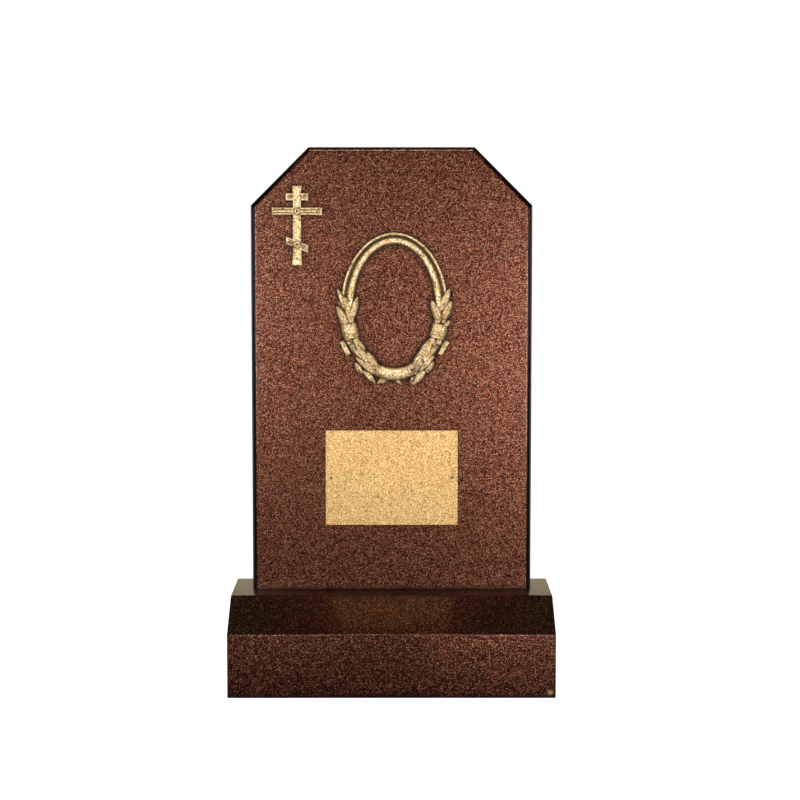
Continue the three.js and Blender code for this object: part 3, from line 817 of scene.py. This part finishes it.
def makeWreath():
    rollEnd, cuffFrom = wreath["rollHalfAngle"], wreath["cuffFrom"]
    roll = (wreath["rollWidth"], wreath["rollHeight"], wreath["rollShift"], rollRims)
    cuff = (wreath["cuffWidth"], wreath["cuffHeight"], wreath["cuffShift"], cuffFolds)
    bed = (wreath["ringWidth"], wreath["bedHeight"] * wreath["ringHeight"])
    bedFrom, bedTo = rollEnd - wreath["bedLap"], cuffFrom + wreath["bedLap"]
    forms = [makeRing(), makeBand(-rollEnd, rollEnd, 1, *roll)]
    forms += [makeLeaf(-1, leaf) for leaf in leftLeaves]
    forms += [makeLeaf(1, leaf) for leaf in rightLeaves]
    for side in (-1, 1):
        forms.append(makeBand(cuffFrom, wreath["cuffTo"], side, *cuff))
        forms.append(makeBand(bedFrom, bedTo, side, *bed))
        forms.append(makeKnot(side))
        forms += [makeRibbonEnd(side, start, end) for start, end in wreath["ribbonEnds"]]
    points = np.concatenate([form[0] for form in forms])
    makePiece(
        "wreath_casting",
        forms,
        bronzeMaterial,
        ["wreath_frame"],
        recessPatinaShade(points, *wreath["patinaAndShade"]),
        sharpAngle=50,
    )


makeWreath()
print("wreath ready")


# Cross: a height field inside the outline of its bars
cross = {
    "thickness": 4.5,
    "bevel": 1.1,
    "uprightTopWidth": 15.0,
    "waist": 12.0,
    "middleWidth": 14.4,
    "upperNarrowing": 0.6,
    "footWidth": 16.6,
    "mainBar": (78.4, 12.2, 11.3, 84.1),  # length, width at the ends, waist, height of its middle
    "upperBar": (35.7, 12.2, 11.3, 106.4),
    "slantBar": (35.4, 12.3, 32.4),  # length, width, height of its middle
    "tilt": 22.0,  # degrees
    "rimHeight": 0.35,
    "rimSlope": (1.9, 2.6),  # from the edge, where the rim ends and the face is low
    "moatRadius": 6.4,
    "moatDepth": 1.2,
    "grooveWidth": 1.6,
    "grooveSpacing": 4.0,
    "grooveFromEnd": 3.4,
    "grooveFromMoat": 1.0,
    "panel": (9.0, 5.2, 3.6),  # length, width, from the bar's end
    "grid": 0.42,
    "patinaAndShade": (0.5, 1.3, 1.2),  # cell, reach and drop of the hollows, for their patina and painted shade
    # Shares of patina and painted shade in what is sunk and at the rim's foot, and of a painted
    # shadow along the edge
    "sunkPatinaAndShade": 0.7,
    "rimFootPatinaAndShade": 0.28,
    "edgePaintedShadow": 0.7,
}


def insideDistance(spots, corners):
    """Distance from each spot to the outline, positive inside it by the crossing rule."""
    corners = np.array(corners, float)
    nearest = np.full(spots.shape[:-1], 1e9)
    inside = np.zeros(spots.shape[:-1], bool)
    for a, b in zip(corners, np.roll(corners, -1, axis=0)):
        way = b - a
        share = np.clip(((spots - a) @ way) / (way @ way), 0, 1)
        nearest = np.minimum(nearest, np.linalg.norm(spots - a - share[..., None] * way, axis=-1))
        spans = (a[1] > spots[..., 1]) != (b[1] > spots[..., 1])
        run = way[0] * (spots[..., 1] - a[1]) / (way[1] if way[1] else 1e-9)
        inside ^= spans & (spots[..., 0] < a[0] + run)
    return np.where(inside, nearest, -nearest)


def boxDistance(spots, middle, length, width, tilt=0.0):
    """Distance to a rectangle's outline, positive inside."""
    turn = math.radians(tilt)
    moved = spots - np.array(middle)
    along = moved @ np.array([math.cos(turn), -math.sin(turn)])
    across = moved @ np.array([math.sin(turn), math.cos(turn)])
    return np.minimum(length / 2 - np.abs(along), width / 2 - np.abs(across))


def ease(value, start, end):
    """Smooth step from 0 at start to 1 at end."""
    t = np.clip((value - start) / (end - start), 0, 1)
    return t * t * (3 - 2 * t)


def crossOutlines():
    height = crossHigh[2] - crossLow[2]
    mainHeight, upperHeight = cross["mainBar"][3], cross["upperBar"][3]
    slantHeight = cross["slantBar"][2]
    waistX, middleX = cross["waist"] / 2, cross["middleWidth"] / 2
    right = [
        (cross["footWidth"] / 2, 0),
        (waistX, slantHeight),
        (middleX, (slantHeight + mainHeight) / 2),
        (waistX, mainHeight),
        (middleX - cross["upperNarrowing"], (mainHeight + upperHeight) / 2),
        (waistX, upperHeight),
        (cross["uprightTopWidth"] / 2, height),
    ]
    outlines = [right + [(-x, z) for x, z in reversed(right)]]
    for length, end, waist, z in (cross["mainBar"], cross["upperBar"]):
        above = [
            (length / 2, end / 2),
            (middleX, waist / 2),
            (-middleX, waist / 2),
            (-length / 2, end / 2),
        ]
        below = [(x, -dz) for x, dz in reversed(above)]
        outlines.append([(x, z + dz) for x, dz in below + above])
    length, width, z = cross["slantBar"]
    rise = math.tan(math.radians(cross["tilt"])) * length / 2
    outlines.append(
        [
            (-length / 2, z + rise - width / 2),
            (length / 2, z - rise - width / 2),
            (length / 2, z - rise + width / 2),
            (-length / 2, z + rise + width / 2),
        ]
    )
    return outlines


def crossRelief(spots, inside):
    """Height of the cross's face, with a bevel, a raised rim, panels, grooves and two moats,
    and the share of patina and painted shade in what is sunk and at the rim's foot, and of
    painted shadow along the edge."""
    mainLength, _, _, mainHeight = cross["mainBar"]
    upperLength, _, _, upperHeight = cross["upperBar"]
    slantLength, _, slantHeight = cross["slantBar"]
    height = cross["thickness"] - cross["bevel"] * (1 - ease(inside, 0, cross["bevel"]))
    height = height - cross["rimHeight"] * ease(inside, *cross["rimSlope"])
    panelLength, panelWidth, fromEnd = cross["panel"]
    farOutside = -9.0
    sunk = np.full(inside.shape, farOutside)
    for side in (-1, 1):
        reach = upperLength / 2 - fromEnd - panelLength / 2
        panel = boxDistance(spots, (side * reach, upperHeight), panelLength, panelWidth)
        sunk = np.maximum(sunk, panel)
        reach = slantLength / 2 - fromEnd - panelLength / 2
        turn = math.radians(cross["tilt"])
        middle = (side * reach * math.cos(turn), slantHeight - side * reach * math.sin(turn))
        panel = boxDistance(spots, middle, panelLength, panelWidth, cross["tilt"])
        sunk = np.maximum(sunk, panel)
        end = mainLength / 2 - cross["grooveFromEnd"]
        length = end - cross["moatRadius"] - cross["grooveFromMoat"]
        for level in (-0.5, 0.5):
            middle = (side * (end - length / 2), mainHeight + level * cross["grooveSpacing"])
            sunk = np.maximum(sunk, boxDistance(spots, middle, length, cross["grooveWidth"]))
    for z in (mainHeight, slantHeight):
        fromBoss = np.linalg.norm(spots - np.array([0, z]), axis=-1)
        sunk = np.maximum(sunk, cross["moatRadius"] - fromBoss)
    height = height - cross["moatDepth"] * ease(sunk, -0.25, 0.45)
    # Patina and painted shade in what is sunk and at the rim's foot; a painted shadow along the
    # edge
    inSunk = cross["sunkPatinaAndShade"] * ease(sunk, -0.3, 0.3)
    rimFoot = cross["rimFootPatinaAndShade"] * np.exp(-(((inside - 2.3) / 0.4) ** 2))
    edge = cross["edgePaintedShadow"] * (1 - ease(inside, 0.0, 0.7))
    return height, np.maximum.reduce([inSunk, rimFoot, edge])


def makeCross():
    step = cross["grid"]
    middleX = (crossLow[0] + crossHigh[0]) / 2
    reach = (crossHigh[0] - crossLow[0]) / 2 + 2 * step
    across = np.arange(-reach, reach + step, step)
    up = np.arange(-2 * step, crossHigh[2] - crossLow[2] + 3 * step, step)
    spots = np.stack(np.meshgrid(across, up, indexing="ij"), axis=-1)
    inside = np.maximum.reduce([insideDistance(spots, o) for o in crossOutlines()])
    slope = np.stack(np.gradient(inside, step), axis=-1)
    slope /= np.linalg.norm(slope, axis=-1, keepdims=True) + 1e-9
    near = inside < 0.5 * step
    spots = np.where(near[..., None], spots - slope * inside[..., None], spots)
    kept = inside > -0.5 * step
    height, reliefPatinaShade = crossRelief(spots, np.where(near, 0, inside))
    whole = kept[:-1, :-1] & kept[1:, :-1] & kept[1:, 1:] & kept[:-1, 1:]
    quads = gridQuads(len(across), len(up))[whole.ravel()]
    front = np.stack(
        [spots[..., 0] + middleX, castBack - height, spots[..., 1] + crossLow[2]], axis=-1
    ).reshape(-1, 3)
    back = front * [1, 0, 1] + [0, castBack, 0]
    used, numbers = np.unique(quads, return_inverse=True)
    quads = numbers.reshape(quads.shape)
    points = np.concatenate([front[used], back[used]])
    count = len(used)
    sides = np.stack([quads, np.roll(quads, -1, axis=1)], axis=2)
    sides = np.concatenate([sides[:, k] for k in range(4)])
    keys = sides[:, 0] * count + sides[:, 1]
    turned = sides[:, 1] * count + sides[:, 0]
    rim = sides[~np.isin(keys, turned)]
    walls = np.stack([rim[:, 1], rim[:, 0], rim[:, 0] + count, rim[:, 1] + count], axis=1)
    faces = turnedOut(points, [quads, quads[:, ::-1] + count, walls])
    reliefPatinaShade = np.tile(reliefPatinaShade.reshape(-1)[used], 2)
    patinaShadeShares = np.maximum(recessPatinaShade(points, *cross["patinaAndShade"]), reliefPatinaShade)
    form = (points, faces)
    makePiece("cross_casting", [form], bronzeMaterial, ["cross"], patinaShadeShares)


makeCross()
print("cross ready")


# Rivets: a domed head with a small bore, and a shank
rivet = {
    "shank": 2.4,  # radius, as is the bore
    "bore": 1.9,
    "headHeight": 1.7,
    "axisGap": 0.01,
    "steps": 40,
}


def makeRivet(node):
    """A profile turned round the rivet's axis, from its tail to the floor of its bore."""
    low, high = nodeBox(node)
    middle = (low + high) / 2
    head = (high[0] - low[0]) / 2
    top, tail = faceY - low[1], faceY - high[1]
    under = top - rivet["headHeight"]
    dome = smoothCurve(
        [
            (head, under),
            (head, under + 0.6),
            (0.85 * head, under + 1.28),
            (0.6 * head, top),
            (rivet["bore"] + 0.15, top - 0.05),
            (rivet["bore"], top - 0.3),
        ],
        steps=5,
    )
    axisGap = rivet["axisGap"]
    stem = [(axisGap, tail), (rivet["shank"], tail), (rivet["shank"], under)]
    floor = [(rivet["bore"], under + 0.1), (axisGap, under)]
    profile = np.concatenate([stem, dome, floor])
    profile[:, 0] = profile[:, 0].clip(axisGap, head)
    turn = np.linspace(0, 2 * math.pi, rivet["steps"], endpoint=False)[None, :]
    x = middle[0] + profile[:, :1] * np.cos(turn)
    y = faceY - profile[:, 1:] + 0 * turn
    z = middle[2] + profile[:, :1] * np.sin(turn)
    points = np.stack([x, y, z], axis=-1)
    # Patina and painted shade darken the bore
    inBore = (profile[:, 0] <= rivet["bore"]) & (profile[:, 1] > under - tolerance)
    patinaShadeShares = np.repeat(inBore.astype(float), rivet["steps"])
    makePiece(node + "_turned", [loft(points)], bronzeMaterial, [node], patinaShadeShares)


for node in ("cross_rivet_upper", "cross_rivet_lower", "plate_rivet_left", "plate_rivet_right"):
    makeRivet(node)


# Name plate: a blank sheet with eased edges
namePlate = {"easedEdge": 0.25, "cornerRadius": 1.5, "cornerPoints": 7}


def makeNamePlate():
    half = (plateHigh[0] - plateLow[0]) / 2
    low, high = plateLow[2], plateHigh[2]
    eased, radius = namePlate["easedEdge"], namePlate["cornerRadius"]
    turn = np.linspace(0, math.pi / 2, namePlate["cornerPoints"])
    corners = np.array([(half, high), (-half, high), (-half, low), (half, low)])
    signs = np.array([(1, 1), (-1, 1), (-1, -1), (1, -1)])
    starts = np.radians([0, 90, 180, 270])
    arcs = starts[:, None] + turn[None, :]
    back, front = plateHigh[1], plateLow[1]
    rings = []
    for inset, y in ((eased, back), (0, back - eased), (0, front + eased), (eased, front)):
        spots = corners[:, None] - signs[:, None] * radius
        spots = spots + (radius - inset) * np.stack([np.cos(arcs), np.sin(arcs)], axis=-1)
        spots = spots.reshape(-1, 2)
        rings.append(np.column_stack([spots[:, 0], np.full(len(spots), y), spots[:, 1]]))
    form = loft(np.array(rings))
    makePiece("plate_sheet", [form], plateMaterial, ["name_plate"], sharpAngle=30)


makeNamePlate()


# Tack welds: quarter-round beads with ripples, in the corner at the stele's foot
weld = {"ripples": 4.5, "rippleDepth": 0.07, "endCut": 0.985}


def makeWeld(node):
    low, high = nodeBox(node)
    size = high - low
    t = np.linspace(-1, 1, 40)[:, None]
    turn = np.linspace(0, math.pi / 2, 10)[None, :]
    waves = 0.5 + 0.5 * np.cos(2 * np.pi * weld["ripples"] * t)
    ripple = 1 - weld["rippleDepth"] * waves
    radius = np.sqrt(1 - (weld["endCut"] * t) ** 2) * ripple
    x = (low[0] + high[0]) / 2 + t * size[0] / 2 + 0 * turn
    y = high[1] - size[1] * radius * np.cos(turn)
    z = low[2] + size[2] * radius * np.sin(turn)
    arc = np.stack([x, y, z], axis=-1)
    corner = np.stack([x[:, :1], high[1] + 0 * t, low[2] + 0 * t], axis=-1)
    form = loft(np.concatenate([arc, corner], axis=1))
    makePiece(node + "_bead", [form], copperMaterial, [node])


for node in ("foot_weld_left", "foot_weld_middle", "foot_weld_right"):
    makeWeld(node)
print("small pieces ready")


# Studio: white behind, dark round the sides, soft boxes in front
studio = {
    "surround": 0.035,
    "backdrop": 0.83,
    "backdropEdge": (0.86, 0.95),  # Y part of the way out, where the backdrop starts and is full
    "sky": 0.15,
    "skyWay": (0, 0.45, 0.9),
    "skyEdge": 0.6,
    "backdropTint": "#ffecc9",
    "floorColour": "#c8c6c2",
    "floorReach": 8.0,
    "lights": [
        # name, place, aim, width, height, watts, spread in degrees
        ("boxLeft", (-0.78, -2.9, 0.46), (-0.1, 0, 0.55), 0.5, 0.6, 2.7, 60),
        ("boxRight", (0.78, -2.9, 0.34), (0.1, 0, 0.45), 0.5, 0.6, 3.3, 60),
        ("sideLeft", (-2.1, -1.9, 0.6), (0, 0, 0.5), 0.4, 0.5, 0.7, 60),
        ("sideRight", (2.1, -1.9, 0.6), (0, 0, 0.5), 0.4, 0.5, 0.9, 60),
        ("above", (0.0, -1.7, 2.5), (0, 0, 0.3), 1.2, 0.6, 8.0, 90),
        ("stripLeft", (-2.2, 0.62, 0.6), (0, 0.1, 0.6), 0.9, 1.6, 8, 120),
        ("stripRight", (2.2, 0.62, 0.6), (0, 0.1, 0.6), 0.9, 1.6, 8, 120),
    ],
}


def makeWorld():
    """White to the camera. The part sees a backdrop behind it, a faint sky and dark sides."""
    world = bpy.data.worlds.new("studio")
    bpy.context.scene.world = world
    world.use_nodes = True
    tree = world.node_tree
    tree.nodes.clear()
    way = addNode(tree, "ShaderNodeTexCoord").outputs["Generated"]
    parts = addNode(tree, "ShaderNodeSeparateXYZ", {"Vector": way})
    behind = addNode(
        tree,
        "ShaderNodeMapRange",
        {
            "Value": parts.outputs["Y"],
            "From Min": studio["backdropEdge"][0],
            "From Max": studio["backdropEdge"][1],
            "To Min": studio["surround"],
            "To Max": studio["backdrop"],
        },
        interpolation_type="SMOOTHSTEP",
    )
    towardsSky = addNode(
        tree, "ShaderNodeVectorMath", {0: way, 1: studio["skyWay"]}, operation="DOT_PRODUCT"
    )
    sky = addNode(
        tree,
        "ShaderNodeMapRange",
        {
            "Value": towardsSky.outputs["Value"],
            "From Min": studio["skyEdge"],
            "To Min": 0.0,
            "To Max": studio["sky"],
        },
        interpolation_type="SMOOTHSTEP",
    )
    lit = addNode(
        tree,
        "ShaderNodeMath",
        {0: behind.outputs["Result"], 1: sky.outputs["Result"]},
        operation="ADD",
    )
    seen = addNode(tree, "ShaderNodeLightPath").outputs["Is Camera Ray"]
    strength = addNode(
        tree,
        "ShaderNodeMix",
        {"Factor": seen, "A": lit.outputs["Value"], "B": 1.0},
        data_type="FLOAT",
    )
    tint = addNode(
        tree,
        "ShaderNodeMix",
        {"Factor": seen, 6: linear(studio["backdropTint"]), 7: (1, 1, 1, 1)},
        data_type="RGBA",
    )
    back = addNode(
        tree,
        "ShaderNodeBackground",
        {"Color": tint.outputs[2], "Strength": strength.outputs["Result"]},
    )
    addNode(tree, "ShaderNodeOutputWorld", {"Surface": back.outputs["Background"]})


def makeLight(name, place, aim, width, height, watts, spread):
    data = bpy.data.lights.new(name, "AREA")
    data.shape = "RECTANGLE"
    data.size, data.size_y = width, height
    data.energy = watts
    data.spread = math.radians(spread)
    lamp = bpy.data.objects.new(name, data)
    lamp.location = place
    way = Vector(aim) - Vector(place)
    lamp.rotation_euler = way.to_track_quat("-Z", "Y").to_euler()
    lamp.visible_camera = False
    bpy.context.scene.collection.objects.link(lamp)


def makeFloor():
    """A pale matt floor, plain white to the camera and left out of reflections."""
    material, tree, shader = newMaterial("pale_floor")
    shader.inputs["Base Color"].default_value = linear(studio["floorColour"])
    shader.inputs["Roughness"].default_value = 0.9
    shader.inputs["Specular IOR Level"].default_value = 0.0
    shader.inputs["Emission Color"].default_value = (1, 1, 1, 1)
    seen = addNode(tree, "ShaderNodeLightPath").outputs["Is Camera Ray"]
    tree.links.new(seen, shader.inputs["Emission Strength"])
    mesh = bpy.data.meshes.new("floor")
    reach = studio["floorReach"]
    corners = [(-reach, -reach, 0), (reach, -reach, 0), (reach, reach, 0), (-reach, reach, 0)]
    mesh.from_pydata(corners, [], [(0, 1, 2, 3)])
    mesh.materials.append(material)
    floor = bpy.data.objects.new("floor", mesh)
    floor.visible_glossy = False
    bpy.context.scene.collection.objects.link(floor)


makeWorld()
for light in studio["lights"]:
    makeLight(*light)
makeFloor()
print("studio ready")
